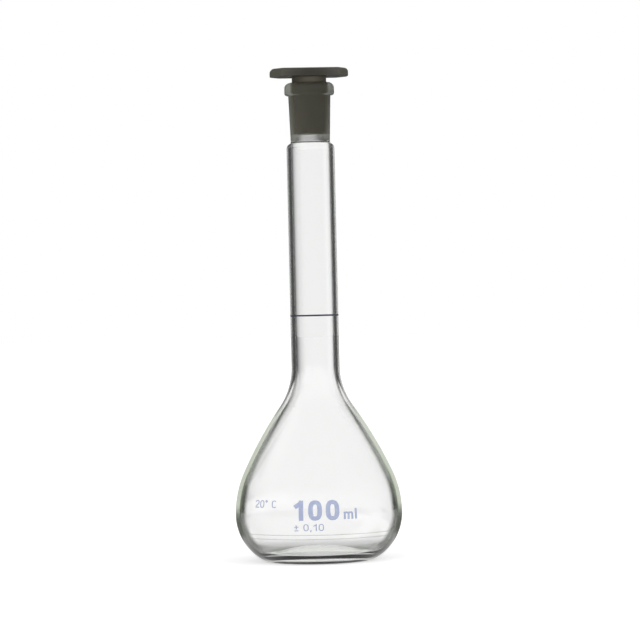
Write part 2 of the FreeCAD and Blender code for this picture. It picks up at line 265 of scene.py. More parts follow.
@dataclass(frozen=True)
class GroundFrost:
    """The matt frost on the inner face of the socket. Heights and radii in millimetres."""

    colour: Colour = (0.46, 0.44, 0.345)
    # Painted light: this paler colour shows at a slant, on the lip and below the plug.
    frost_painted_light: Colour = (0.86, 0.88, 0.81)
    roughness: float = 0.9
    cover: float = 0.42
    slant_cover: float = 0.85
    side_slant: Pair = (0.2, 0.5)
    side_share: float = 0.6
    lip_slant: Pair = (0.24, 0.4)
    lip: Pair = (167.0, 167.8)
    plug_tip: Pair = (153.6, 153.3)
    low: Pair = (150.7, 151.1)
    high: Pair = (171.4, 171.1)
    low_end: Pair = (5.2, 151.0)
    taper: float = 0.05
    reach: Pair = (0.45, 0.225)

    def where(self, place: Place) -> Value:
        """The ground face: close to the cone, between its low and its high end.

        Args:
            place: the point's coordinates.

        Returns:
            1 on the face, and 0 off it.
        """
        radius, height = self.low_end
        cone = (place.z - height * MM) * self.taper + radius * MM
        near = (place.radius() - cone).step(self.reach, MM)
        return near * place.z.step(self.low, MM) * place.z.step(self.high, MM)

    def shader(self, graph: Graph, height: Value) -> Node:
        """A matt film that lets some light through, with painted light: paler at a slant, on the
        lip and below the plug.

        Args:
            graph: the material's nodes.
            height: the point's height, in metres.

        Returns:
            The film's shader.
        """
        slant = graph.slant()
        # Painted light: the film pales where the ray grazes it, on the lip and below the plug's
        # tip.
        lip = slant.step(self.lip_slant) * height.step(self.lip, MM)
        pale = lip.larger(slant.step(self.side_slant) * self.side_share)
        tip = height.step(self.plug_tip, MM)
        film = graph.node("ShaderNodeBsdfPrincipled", {
            "Base Color": graph.mix(tip.larger(pale), self.colour, self.frost_painted_light),
            "Roughness": self.roughness,
        })
        cover = pale * (self.slant_cover - self.cover) + self.cover
        return graph.blend(cover, graph.node("ShaderNodeBsdfTransparent"), film)


@dataclass(frozen=True)
class ClearGlass:
    """Fire-polished borosilicate, frosted where the socket is ground. Heights in millimetres."""

    index: float = 1.473
    tint: Colour = (1.0, 1.0, 1.0)
    depth_tint: Colour = (0.70, 0.80, 0.60)
    depth_density: float = 10.0
    # Painted shade: this colour tints the glass dark where the ray grazes it.
    edge_painted_shade: Colour = (0.36, 0.39, 0.32)
    edge_slant: Pair = (0.5, 0.92)
    # Painted shade: two thin dark lines round the front of the lower bulb.
    line_heights: Pair = (9.7, 11.2)
    line_width: Pair = (0.22, 0.08)
    line_front: Pair = (-4.0, -10.0)
    line_share: float = 0.5
    # Painted shade: this colour turns the heel near black where the ray grazes it.
    heel_painted_shade: Colour = (0.010, 0.0125, 0.006)
    heel_slant: Pair = (0.56, 0.72)
    heel_top: Pair = (25.0, 18.5)
    heel_radius: Pair = (20.0, 23.0)
    # Painted light: this colour makes a pale see-through band along the bulb's sides.
    side_painted_light: Colour = (0.78, 0.80, 0.75)
    side_slant: Pair = (0.57, 0.72)
    side_low: Pair = (12.0, 21.0)
    side_high: Pair = (60.0, 50.0)
    side_painted_light_share: float = 0.85
    frost: GroundFrost = GroundFrost()

    def material(self) -> Material:
        """The glass, its frost and the faint colour of its depth.

        Returns:
            The material.
        """
        made, graph = new_material("clear_glass")
        place = graph.place()
        ground = self.frost.shader(graph, place.z)
        shader = graph.blend(self.frost.where(place), self.polished(graph, place), ground)
        depth = graph.node("ShaderNodeVolumeAbsorption", {
            "Color": self.depth_tint,
            "Density": self.depth_density,
        })
        graph.finish(shader, depth)
        return made

    def polished(self, graph: Graph, place: Place) -> Node:
        """The bright glass, with painted shade on its grazing edges, on two lines round the bulb's
        front and on the heel, and a painted pale band of light along the bulb's sides.

        Args:
            graph: the material's nodes.
            place: the point's coordinates.

        Returns:
            Its shader.
        """
        slant = graph.slant()
        # Painted shade: the glass darkens where the ray grazes it.
        edge = slant.step(self.edge_slant)
        # Painted shade: two thin dark lines at these heights, on the bulb's front only.
        for height in self.line_heights:
            line = (place.z - height * MM).size().step(self.line_width, MM)
            edge = edge.larger(line * place.y.step(self.line_front, MM) * self.line_share)
        # Painted shade: the heel turns near black where the ray grazes it.
        heel = place.z.step(self.heel_top, MM) * slant.step(self.heel_slant)
        heel = heel * place.radius().step(self.heel_radius, MM)
        clear = graph.mix(edge, self.tint, self.edge_painted_shade)
        glass = graph.node("ShaderNodeBsdfPrincipled", {
            "Base Color": graph.mix(heel, clear, self.heel_painted_shade),
            "IOR": self.index,
            "Transmission Weight": 1.0,
            "Roughness": 0.0,
        })
        # Painted light: along the bulb's sides, at a slant, the glass gives way to a pale
        # see-through film.
        side = place.z.step(self.side_low, MM) * place.z.step(self.side_high, MM)
        side = side * slant.step(self.side_slant) * self.side_painted_light_share
        pale = graph.node("ShaderNodeBsdfTransparent", {"Color": self.side_painted_light})
        return graph.blend(side, glass, pale)


@dataclass(frozen=True)
class FiredEnamel:
    """Ceramic colour fired on the glass, a little uneven."""

    name: str
    colour: Colour
    worn: Colour
    cloud_scale: float = 900.0
    cloud: Pair = (0.35, 0.75)
    roughness: float = 0.4
    gloss_scale: float = 400.0
    gloss_spread: float = 0.2

    def material(self) -> Material:
        """The enamel, between its full and its thin colour.

        Returns:
            The material.
        """
        made, graph = new_material(self.name)
        cloud = graph.noise(self.cloud_scale).step(self.cloud)
        graph.finish(graph.node("ShaderNodeBsdfPrincipled", {
            "Base Color": graph.mix(cloud, self.colour, self.worn),
            "Roughness": graph.noise(self.gloss_scale) * self.gloss_spread + self.roughness,
        }))
        return made


@dataclass(frozen=True)
class MouldedPlastic:
    """Satin moulded polyethylene, paler where light soaks into the plate's thin ends.

    Heights, radii and the grain's depth are in millimetres.
    """

    plug: Colour = (0.122, 0.112, 0.079)
    core: Colour = (0.046, 0.043, 0.034)
    end: Colour = (0.105, 0.1, 0.08)
    plate_start: Pair = (173.6, 174.6)
    end_radius: Pair = (6.0, 14.5)
    end_share: float = 0.85
    cloud_scale: float = 220.0
    cloud_share: float = 0.25
    roughness: float = 0.42
    gloss_scale: float = 600.0
    gloss_spread: float = 0.14
    index: float = 1.51
    grain_scale: float = 1800.0
    grain_detail: float = 4.0
    grain_depth: float = 0.02

    def material(self) -> Material:
        """The plastic, with a fine moulded grain.

        Returns:
            The material.
        """
        made, graph = new_material("grey_plastic")
        place = graph.place()
        cloud = (graph.noise(self.cloud_scale) - 0.5) * self.cloud_share
        share = place.radius().step(self.end_radius, MM) * self.end_share + cloud
        plate = graph.mix(share.larger(0.0).smaller(1.0), self.core, self.end)
        grain = graph.noise(self.grain_scale, self.grain_detail)
        graph.finish(graph.node("ShaderNodeBsdfPrincipled", {
            "Base Color": graph.mix(place.z.step(self.plate_start, MM), self.plug, plate),
            "Roughness": graph.noise(self.gloss_scale) * self.gloss_spread + self.roughness,
            "IOR": self.index,
            "Normal": graph.bump(grain, self.grain_depth * MM),
        }))
        return made


@dataclass(frozen=True)
class Window:
    """A white stretch of the surroundings. Angles in degrees.

    Each of its sides is where the white starts and where it is full, from the middle.
    """

    middle: float
    left: Pair = (-24.0, -2.0)
    right: Pair = (27.0, 12.0)

    def white(self, bearing: Value) -> Value:
        """1 in the stretch, and 0 off it, for a bearing in radians."""
        turn = bearing - self.middle * DEG
        return turn.step(self.left, DEG) * turn.step(self.right, DEG)


@dataclass(frozen=True)
class Road:
    """A white way over the floor, dark close to both its sides. Sizes in metres and degrees."""

    window: Window
    inner: Pair = (15.0, 22.0)
    outer: Pair = (37.0, 30.0)
    start: Pair = (0.17, 0.28)

    def sides(self, bearing: Value, radius: Value) -> Value:
        """1 in the dark strips along the way, and 0 off them, for a bearing in radians."""
        aside = (bearing - self.window.middle * DEG).size()
        return aside.step(self.inner, DEG) * aside.step(self.outer, DEG) * radius.step(self.start)


BACK, LEFT = Window(0.0), Window(-90.0)
REAR = Window(135.0, left=(-22.0, -15.0), right=(22.0, 15.0))


@dataclass(frozen=True)
class WhiteFloor:
    """A matt white table that shows as white and keeps a faint shadow.

    The glass sees it dark far off and beside the roads, as it sees the tent. Sizes in metres and
    degrees, each pair from where a shade starts to where it is full.
    """

    albedo: float = 0.8
    glow: float = 0.355
    eye_glow: float = 0.2
    foot: Pair = (0.064, 0.036)
    foot_shade: float = 0.12
    mirror_shade: float = 0.8
    under: Pair = (0.03, 0.016)
    under_glow: float = 0.1
    roads: tuple[Road, ...] = (Road(BACK), Road(LEFT), Road(REAR, start=(0.25, 0.35)))
    road_shade: float = 0.85
    far: Pair = (0.38, 0.5)
    front: Pair = (140.0, 150.0)
    front_far: Pair = (0.6, 1.9)

    def material(self) -> Material:
        """The table top, lit from below where it is seen.

        Returns:
            The material.
        """
        made, graph = new_material("white_floor")
        radius = graph.place().radius()
        unseen = 1 - graph.ray("Is Camera Ray")
        under = radius.step(self.under) * self.under_glow * unseen
        level = graph.seen() * (under + self.glow) + (1 - unseen) * self.eye_glow
        dark, white = (graph.node("ShaderNodeEmission", {"Strength": end}) for end in (0.0, 1.0))
        matt = graph.node("ShaderNodeBsdfDiffuse", {"Color": (self.albedo,) * 3})
        glow = graph.blend(level, dark, white)
        table = graph.node("ShaderNodeAddShader", {0: matt.outputs[0], 1: glow.outputs[0]})
        hidden = self.shade(graph) * unseen * graph.seen()
        graph.finish(graph.blend(hidden, table, dark))
        return made

    def shade(self, graph: Graph) -> Value:
        """How dark the glass sees each point of the table.

        Args:
            graph: the material's nodes.

        Returns:
            0 for white and 1 for black.
        """
        place = graph.place()
        bearing, radius = place.bearing(), place.radius()
        front = bearing.size().step(self.front, DEG)
        shade = radius.step(self.far) * (1 - front) + front * radius.step(self.front_far)
        for road in self.roads:
            shade = shade * (1 - road.window.white(bearing))
        for road in self.roads:
            shade = shade.larger(road.sides(bearing, radius))
        foot = radius.step(self.foot)
        mirrored = graph.ray("Is Reflection Ray") * (1 - foot) * self.mirror_shade
        return (shade * self.road_shade).larger(foot * self.foot_shade).larger(mirrored)


@dataclass(frozen=True)
class BlackTent:
    """Black cloth round the set, with white windows that the glass is seen against.

    A white band runs round its back and left. Sizes in metres.
    """

    band_low: Pair = (0.27, 0.45)
    band_high: Pair = (0.95, 0.75)
    band_side: Pair = (-0.6, 0.4)
    cloth: float = 0.07

    def material(self) -> Material:
        """Black where there is no window; the back window also shows in reflections.

        Returns:
            The material.
        """
        made, graph = new_material("black_tent")
        place = graph.place()
        bearing = place.bearing()
        band = place.z.step(self.band_low) * place.z.step(self.band_high)
        band = band * (place.y - place.x).step(self.band_side)
        through = band.larger(LEFT.white(bearing)) * graph.ray("Is Transmission Ray")
        cloth = graph.node("ShaderNodeEmission", {"Strength": self.cloth})
        window = graph.node("ShaderNodeBsdfTransparent")
        graph.finish(graph.blend(through.larger(BACK.white(bearing)), cloth, window))
        return made


def new_object(name: str, vertices: Points, faces: Iterable[Points], material: Material,
               smooth: bool = True) -> Object:
    """A mesh object at the origin.

    Args:
        name: the piece's name.
        vertices: its points, in metres.
        faces: arrays of faces, each with the same number of corners in every row.
        material: its finish.
        smooth: whether it is shaded as one curved surface.

    Returns:
        The object, linked to the scene.
    """
    mesh = bpy.data.meshes.new(name)
    rows = [row for array in faces for row in array.tolist()]
    mesh.from_pydata(vertices.tolist(), [], rows)
    mesh.polygons.foreach_set("use_smooth", np.full(len(mesh.polygons), smooth))
    mesh.materials.append(material)
    mesh.update()
    made = bpy.data.objects.new(name, mesh)
    bpy.context.scene.collection.objects.link(made)
    return made


def arc_points(centre: Pair, radius: float, first: float, last: float, step: float) -> Points:
    """Points on an arc: its centre, plus its radius times the cosine and sine of even angles.

    Args:
        centre: the arc's centre.
        radius: its radius.
        first: its first angle, in degrees.
        last: its last angle.
        step: how far apart the points lie.

    Returns:
        The points, both ends included.
    """
    length = abs(math.radians(last - first)) * radius
    turns = np.radians(np.linspace(first, last, max(ARC_STEPS, round(length / step)) + 1))
    return np.column_stack((centre[0] + radius * np.cos(turns), centre[1] + radius * np.sin(turns)))


def line_points(start: Pair, end: Pair, step: float) -> Points:
    """Evenly spaced points from one end of a straight line to the other."""
    count = max(1, round(math.dist(start, end) / step))
    return np.linspace(start, end, count + 1)


def on_circle(centre: Pair, radius: float, angle: float) -> Pair:
    """The point of a circle at an angle in degrees."""
    turn = math.radians(angle)
    return centre[0] + radius * math.cos(turn), centre[1] + radius * math.sin(turn)


def direction(start: Pair, end: Pair) -> float:
    """The direction from one point to another, in degrees."""
    return math.degrees(math.atan2(end[1] - start[1], end[0] - start[0]))


def soften(path: Points, reach: float, sharp: float = 12.0, count: int = 5) -> Points:
    """Replaces each sharp corner of a path by a short parabola.

    Args:
        path: the points, with corners.
        reach: how far from a corner the parabola starts.
        sharp: the least turn that counts as a corner, in degrees.
        count: the points of each parabola.

    Returns:
        The path with rounded corners.
    """
    runs = np.diff(path, axis=0)
    ways = runs / np.linalg.norm(runs, axis=1, keepdims=True)
    turn = np.degrees(np.arccos(np.clip((ways[:-1] * ways[1:]).sum(axis=1), -1, 1)))
    pieces, begin = [], 0
    share = np.linspace(0, 1, count)[:, None]
    back = 1 - share
    for corner in np.flatnonzero(turn > sharp) + 1:
        before = path[corner] - ways[corner - 1] * reach
        after = path[corner] + ways[corner] * reach
        curve = back**2 * before + 2 * share * back * path[corner] + share**2 * after
        pieces += [path[begin:corner], curve]
        begin = corner + 1
    return np.vstack((*pieces, path[begin:]))


@dataclass(frozen=True)
class Spacing:
    """How far apart the points of the glass's section lie, in millimetres."""

    rounds: float = 0.12
    heel: float = 0.3
    lip: float = 0.4
    floor: float = 0.4
    foot: float = 0.5
    belly: float = 0.5
    sweep: float = 0.5
    shoulder: float = 0.6
    cone: float = 0.8
    punt: float = 0.8
    ground: float = 1.5
    socket: float = 2.0
    neck: float = 4.0


@dataclass
class BlownGlass:
    """The flask's glass: a wall section turned once round the axis.

    A section's points are radius and height. Sizes in millimetres and degrees.
    """

    body_diameter: float = 60.0
    belly_height: float = 17.0
    foot_inset: float = 12.0
    foot_width: float = 2.2
    heel_round: float = 5.5
    shoulder_round: float = 36.5
    shoulder_turn: float = 25.0
    cone_bow: float = 10.0
    wall: float = 1.42
    punt_rise: float = 2.6
    base_thickness: float = 2.4
    floor_round: float = 9.0
    neck_diameter: float = 17.3
    neck_sweep: float = 25.0
    neck_top_drop: float = 2.8
    neck_top_round: float = 2.2
    bore_top_round: float = 1.5
    height: float = 172.0
    joint_diameter: float = 12.5
    joint_length: float = 21.0
    joint_taper: float = 10.0
    ground_root_round: float = 0.8
    socket_root_round: float = 0.8
    socket_top_diameter: float = 15.3
    socket_flare: float = 1.9
    lip_diameter: float = 18.0
    lip_height: float = 4.6
    lip_round: float = 2.0
    lip_under_round: float = 0.9
    mouth_round: float = 0.5
    polish: float = 0.25
    turns: int = 180
    spacing: Spacing = Spacing()

    def __post_init__(self) -> None:
        """Works out the arcs that the outside and the inside share."""
        body, neck = self.body_diameter / 2, self.neck_diameter / 2
        self.foot_outer = body - self.foot_inset
        self.foot_inner = self.foot_outer - self.foot_width
        self.punt_round = (self.foot_inner**2 + self.punt_rise**2) / (2 * self.punt_rise)
        self.punt_centre = (0.0, self.punt_rise - self.punt_round)
        self.heel_centre = (self.foot_outer, self.heel_round)
        rise = self.belly_height - self.heel_round
        self.belly_round = (self.foot_inset**2 + rise**2 - self.heel_round**2) / (
            2 * (self.foot_inset - self.heel_round))
        self.belly_centre = (body - self.belly_round, self.belly_height)
        self.heel_end = direction(self.belly_centre, self.heel_centre)
        self.cone_turn = self.shoulder_turn + self.cone_bow
        self.shoulder_centre = (body - self.shoulder_round, self.belly_height)
        shoulder_end = on_circle(self.shoulder_centre, self.shoulder_round, self.shoulder_turn)
        first, last = math.radians(self.shoulder_turn), math.radians(self.cone_turn)
        sweep_start = neck + self.neck_sweep * (1 - math.cos(last))
        self.cone_round = (shoulder_end[0] - sweep_start) / (math.cos(first) - math.cos(last))
        self.cone_centre = on_circle(shoulder_end, -self.cone_round, self.shoulder_turn)
        reach = self.cone_round + self.neck_sweep
        self.sweep_centre = on_circle(self.cone_centre, reach, self.cone_turn)

    def bulb(self, low: float, wall: float = 0.0) -> list[Points]:
        """The arcs of the belly, the shoulder, the cone and the sweep into the neck.

        Args:
            low: the angle at which the belly starts.
            wall: how far inside the outer face they lie.

        Returns:
            The arcs in order, upwards.
        """
        gap, first, last = self.spacing, self.shoulder_turn, self.cone_turn
        return [
            arc_points(self.belly_centre, self.belly_round - wall, low, 0, gap.belly),
            arc_points(self.shoulder_centre, self.shoulder_round - wall, 0, first, gap.shoulder),
            arc_points(self.cone_centre, self.cone_round - wall, first, last, gap.cone),
            arc_points(self.sweep_centre, self.neck_sweep + wall, 180 + last, 180, gap.sweep),
        ]

    def outside(self) -> list[Points]:
        """The outer path from the middle of the punt up to the top of the neck.

        Returns:
            Its lines and arcs in order.
        """
        foot, neck, gap = (self.foot_inner, 0.0), self.neck_diameter / 2, self.spacing
        punt_end = direction(self.punt_centre, foot)
        return [
            arc_points(self.punt_centre, self.punt_round, 90, punt_end, gap.punt),
            line_points(foot, (self.foot_outer, 0.0), gap.foot),
            arc_points(self.heel_centre, self.heel_round, -90, self.heel_end, gap.heel),
            *self.bulb(self.heel_end),
            line_points((neck, self.sweep_centre[1]), (neck, self.neck_top()), gap.neck),
        ]

    def neck_top(self) -> float:
        """The height at which the neck starts to turn in to the socket."""
        return self.height - self.joint_length - self.neck_top_drop

    def socket(self) -> list[Points]:
        """The path over the neck's top, up the socket, round the lip and down the ground cone.

        Returns:
            Its lines and arcs in order.
        """
        top, flare, gap = self.height, self.socket_flare, self.spacing
        crown_centre = (self.neck_diameter / 2 - self.neck_top_round, self.neck_top())
        under = top - self.lip_height
        socket_top = (self.socket_top_diameter / 2, under)
        # The root's round touches the crown's round and the socket's flared outer line.
        offset_top = on_circle(socket_top, self.socket_root_round, -flare)
        downhill = on_circle((0.0, 0.0), 1.0, -90 - flare)
        apart = np.subtract(offset_top, crown_centre)
        along = float(apart @ downhill)
        reach = self.neck_top_round + self.socket_root_round
        slide = -along - math.sqrt(along**2 - float(apart @ apart) + reach**2)
        root_centre = tuple(offset_top + slide * np.array(downhill))
        crown_end = direction(crown_centre, root_centre)
        root_end = on_circle(root_centre, self.socket_root_round, 180 - flare)
        lip, low, high = self.lip_diameter / 2, self.lip_under_round, self.lip_round
        slope = self.slope()
        lean = math.radians(slope)
        mouth_reach = self.mouth_round * (1 - math.sin(lean)) / math.cos(lean)
        mouth = (self.joint_diameter / 2 + mouth_reach, top - self.mouth_round)
        mouth_end = on_circle(mouth, self.mouth_round, 180 - slope)
        turn_in = (180 + crown_end, 180 - flare)
        return [
            arc_points(crown_centre, self.neck_top_round, 0, crown_end, gap.rounds),
            arc_points(root_centre, self.socket_root_round, *turn_in, gap.rounds),
            line_points(root_end, socket_top, gap.socket),
            line_points(socket_top, (lip - low, under), gap.lip),
            arc_points((lip - low, under + low), low, -90, 0, gap.rounds),
            arc_points((lip - high, top - high), high, 0, 90, gap.rounds),
            arc_points(mouth, self.mouth_round, 90, 180 - slope, gap.rounds),
            line_points(mouth_end, self.ground_end(), gap.ground),
        ]

    def slope(self) -> float:
        """The ground cone's lean from upright, in degrees."""
        return math.degrees(math.atan(0.5 / self.joint_taper))

    def ground_end(self) -> Pair:
        """The narrow end of the ground cone."""
        narrow = (self.joint_diameter - self.joint_length / self.joint_taper) / 2
        return narrow, self.height - self.joint_length

    def inside(self) -> list[Points]:
        """The path from the ground cone down the bore to the middle of the floor.

        Returns:
            Its lines and arcs in order.
        """
        wall, gap = self.wall, self.spacing
        bore = self.neck_diameter / 2 - wall
        slope, root, bend = self.slope(), self.ground_root_round, self.bore_top_round
        root_centre = on_circle(self.ground_end(), root, -slope)
        drop = math.sqrt((root + bend) ** 2 - (root_centre[0] - bore + bend) ** 2)
        bore_centre = (bore - bend, root_centre[1] - drop)
        bore_bend = direction(bore_centre, root_centre)
        # The floor's round touches the belly's inner arc and the dome over the punt.
        dome_round = self.punt_round + self.base_thickness
        belly_reach = self.belly_round - wall - self.floor_round
        dome_reach = dome_round + self.floor_round
        apart = math.dist(self.belly_centre, self.punt_centre)
        share = (apart**2 + belly_reach**2 - dome_reach**2) / (2 * apart * belly_reach)
        lean = direction(self.belly_centre, self.punt_centre) + math.degrees(math.acos(share))
        floor_centre = on_circle(self.belly_centre, belly_reach, lean)
        floor_end = direction(floor_centre, self.punt_centre)
        dome_start = direction(self.punt_centre, floor_centre)
        return [
            arc_points(root_centre, root, 180 - slope, 180 + bore_bend, gap.rounds),
            arc_points(bore_centre, bend, bore_bend, 0, gap.rounds),
            line_points((bore, bore_centre[1]), (bore, self.sweep_centre[1]), gap.neck),
            *(arc[::-1] for arc in reversed(self.bulb(lean, wall))),
            arc_points(floor_centre, self.floor_round, lean, floor_end, gap.floor),
            arc_points(self.punt_centre, dome_round, dome_start, 90, gap.punt),
        ]

    def section(self) -> Points:
        """The whole wall section, from the axis under the punt round to the axis on the floor.

        Returns:
            Its points in order, with the sharp corners polished off.
        """
        path = np.vstack(self.outside() + self.socket() + self.inside())
        apart = np.linalg.norm(np.diff(path, axis=0), axis=1) > SAME_POINT
        return soften(path[np.concatenate(([True], apart))], self.polish)

    def surface_at(self, height: Points) -> tuple[Points, Points]:
        """The bulb's outer surface near its belly.

        The radius is that of the belly arc below the equator and of the shoulder arc above it.

        Args:
            height: heights above the bench.

        Returns:
            The radius at each height, and the way out of the surface there as unit (r, z) rows.
        """
        below = height < self.belly_height
        round_ = np.where(below, self.belly_round, self.shoulder_round)
        middle = np.where(below, self.belly_centre[0], self.shoulder_centre[0])
        rise = height - self.belly_height
        out = np.sqrt(round_**2 - rise**2)
        return middle + out, np.column_stack((out, rise)) / round_[:, None]

    def build(self, material: Material) -> Object:
        """Turns the section round the axis.

        A point of the section at radius r and height z becomes, at turn t, the point
        (r cos t, r sin t, z); both ends of the section lie on the axis and close it as poles.

        Args:
            material: the glass.

        Returns:
            The glass as one closed surface.
        """
        path = self.section() * MM
        rings = path[1:-1]
        turn = np.linspace(0, 2 * np.pi, self.turns, endpoint=False)
        grid = np.stack((rings[:, :1] * np.cos(turn), rings[:, :1] * np.sin(turn),
                         np.repeat(rings[:, 1:], self.turns, axis=1)), axis=2)
        poles = np.array([[0, 0, path[0, 1]], [0, 0, path[-1, 1]]])
        vertices = np.vstack((poles, grid.reshape(-1, 3)))
        index = 2 + np.arange(rings.shape[0] * self.turns).reshape(-1, self.turns)
        after = np.roll(index, -1, axis=1)
        walls = np.stack((index[:-1], after[:-1], after[1:], index[1:]), axis=2).reshape(-1, 4)
        under = np.column_stack((np.zeros(self.turns, int), after[0], index[0]))
        floor = np.column_stack((np.ones(self.turns, int), index[-1], after[-1]))
        made = new_object("glass_body", vertices, (walls, under, floor), material)
        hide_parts("flask")
        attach(made, Body.GLASS.value)
        return made


def bow(centre: Pair, reach: Pair, first: float, last: float, square: float = 2.0,
        count: int = 40) -> Points:
    """A stretch of a rounded oval.

    Each of its cosine and sine is raised to the power 2 / square, with its sign.

    Args:
        centre: the oval's middle.
        reach: half its width and half its height.
        first: its first angle, in degrees.
        last: its last angle.
        square: 2 for an ellipse, and more for squarer sides.
        count: the number of points.

    Returns:
        The points along it.
    """
    turn = np.radians(np.linspace(first, last, count))
    way = np.column_stack((np.cos(turn), np.sin(turn)))
    return np.array(centre) + np.array(reach) * np.sign(way) * np.abs(way) ** (2 / square)


Glyph = tuple[float, list[Points]]


@dataclass(frozen=True)
class Pen:
    """Plain numerals and units drawn as strokes of one width, for a cap height of 1.

    Each sign is its width, and its strokes as paths along their middle lines.
    """

    stroke: float
    narrow: float = 0.62
    wide: float = 0.64
    low_case: float = 0.72
    step: float = 0.1

    @property
    def half(self) -> float:
        """Half the stroke, by which a path stays inside its sign."""
        return self.stroke / 2

    def line(self, start: Pair, end: Pair) -> Points:
        """A straight stroke."""
        return line_points(start, end, self.step)

    def oval(self, width: float, first: float, last: float, square: float) -> Points:
        """A stretch of an oval that fills a width and the cap height."""
        return bow((width / 2, 0.5), (width / 2 - self.half, 0.5 - self.half), first, last, square)

    def zero(self) -> Glyph:
        """A narrow oval with squarish sides."""
        return self.narrow, [self.oval(self.narrow, 90, 450, 2.7)]

    def one(self) -> Glyph:
        """A stem with a short flag."""
        stem = 0.44 - self.half
        return 0.5, [self.line((stem, 0.0), (stem, 1.0)), self.line((0.04, 0.66), (stem, 0.87))]

    def two(self) -> Glyph:
        """An arch that runs down into a leg, and a foot under it.

        Returns:
            The sign.
        """
        middle, waist, half = self.narrow / 2, 0.70, self.half
        arch = bow((middle, waist), (middle - half, 1 - half - waist), 170, -35)
        leg = line_points(tuple(arch[-1]), (half, self.stroke), self.step / 2)
        foot = self.line((0.0, half), (self.narrow, half))
        return self.narrow, [np.vstack((arch, leg[1:])), foot]

    def letter_c(self) -> Glyph:
        """An oval that is open on the right."""
        return self.wide, [self.oval(self.wide, 42, 318, 2.5)]

    def letter_m(self) -> Glyph:
        """Three stems under two arches.

        Returns:
            The sign.
        """
        span, rise = 0.31, 0.12
        spring = self.low_case - self.half - rise
        feet = [self.half + span * count for count in range(3)]
        strokes = [self.line((feet[0], 0.0), (feet[0], self.low_case))]
        for foot in feet[1:]:
            arch = bow((foot - span / 2, spring), (span / 2, rise), 150, 0)
            stem = self.line((foot, arch[-1, 1]), (foot, 0.0))
            strokes.append(np.vstack((arch, stem[1:])))
        return feet[-1] + self.half, strokes

    def letter_l(self) -> Glyph:
        """One stem."""
        return self.stroke, [self.line((self.half, 0.0), (self.half, 1.0))]

    def degree(self) -> Glyph:
        """A small ring at the top."""
        return 0.34, [bow((0.17, 0.86), (0.1, 0.1), 90, 450)]

    def plus_minus(self) -> Glyph:
        """A plus on a bar."""
        width, middle, cross, half = 0.5, 0.25, 0.56, self.half
        return width, [self.line((0.0, cross), (width, cross)),
                       self.line((middle, cross + half), (middle, 0.85)),
                       self.line((middle, 0.27), (middle, cross - half)),
                       self.line((0.0, half), (width, half))]

    def comma(self) -> Glyph:
        """A short slanted stroke through the baseline."""
        return 0.2, [line_points((0.13, 0.16), (0.05, -0.16), 0.08)]

    def space(self) -> Glyph:
        """A gap."""
        return 0.3, []

    def strokes(self, words: str, spacing: float) -> Glyph:
        """A line of signs.

        Args:
            words: what it says.
            spacing: the gap between two signs.

        Returns:
            The line's width and its strokes.
        """
        at, paths = 0.0, []
        for sign in words:
            width, strokes = SIGNS[sign](self)
            paths += [stroke + (at, 0.0) for stroke in strokes]
            at += width + spacing
        return at - spacing, paths


SIGNS = {
    "0": Pen.zero, "1": Pen.one, "2": Pen.two, "C": Pen.letter_c, "m": Pen.letter_m,
    "l": Pen.letter_l, "°": Pen.degree, "±": Pen.plus_minus, ",": Pen.comma, " ": Pen.space,
}


@dataclass(frozen=True)
class Print:
    """One line of print on the bulb. Sizes in millimetres and degrees."""

    name: str
    words: str
    cap_height: float
    first_turn: float
    last_turn: float
    baseline: float
    pen: Pen
    spacing: float = 0.14
    film: float = 0.03

    def ribbon(self, path: Points, glass: BlownGlass, scale: Pair) -> tuple[Points, Points]:
        """One stroke as a thin closed strip on the glass.

        The path's left and right edges lie half a stroke to its sides. A point of the strip at
        x and y goes to turn x and height y on the bulb, on the glass or one film above it.

        Args:
            path: the stroke's middle line, for a cap height of 1.
            glass: the bulb that it lies on.
            scale: degrees of turn per unit of x, and millimetres per unit of y.

        Returns:
            The strip's points and its faces.
        """
        closed = bool(np.allclose(path[0], path[-1]))
        if closed:
            path = path[:-1]
            along = np.roll(path, -1, axis=0) - np.roll(path, 1, axis=0)
        else:
            along = np.gradient(path, axis=0)
        along = along / np.linalg.norm(along, axis=1, keepdims=True)
        side = np.column_stack((-along[:, 1], along[:, 0])) * self.pen.half
        edges = np.stack((path + side, path - side, path - side, path + side), axis=1)
        lift = np.array([0.0, 0.0, self.film, self.film])
        turn = np.radians(self.first_turn + edges[..., 0] * scale[0])
        height = self.baseline + edges[..., 1] * scale[1]
        radius, out = glass.surface_at(height.ravel())
        radius = radius.reshape(height.shape) + out[:, 0].reshape(height.shape) * lift
        height = height + out[:, 1].reshape(height.shape) * lift
        points = np.stack((radius * np.sin(turn), -radius * np.cos(turn), height), axis=2)
        index = np.arange(points.shape[0] * 4).reshape(-1, 4)
        ahead = np.roll(index, -1, axis=0) if closed else index[1:]
        index = index if closed else index[:-1]
        around = np.roll(index, -1, axis=1)
        faces = np.stack((index, around, np.roll(ahead, -1, axis=1), ahead), axis=2).reshape(-1, 4)
        if not closed:
            start = np.arange(4)
            faces = np.vstack((faces, start[::-1], start + 4 * (points.shape[0] - 1)))
        return points.reshape(-1, 3) * MM, faces

    def build(self, glass: BlownGlass, material: Material) -> Object:
        """Lays the line's strokes on the bulb between its first and last turn.

        Args:
            glass: the bulb.
            material: the enamel.

        Returns:
            The printed line.
        """
        width, paths = self.pen.strokes(self.words, self.spacing)
        scale = ((self.last_turn - self.first_turn) / width, self.cap_height)
        vertices, faces, count = [], [], 0
        for path in paths:
            points, quads = self.ribbon(path, glass, scale)
            vertices.append(points)
            faces.append(quads + count)
            count += len(points)
        made = new_object(self.name, np.vstack(vertices), faces, material, smooth=False)
        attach(made, Body.GLASS.value)
        return made


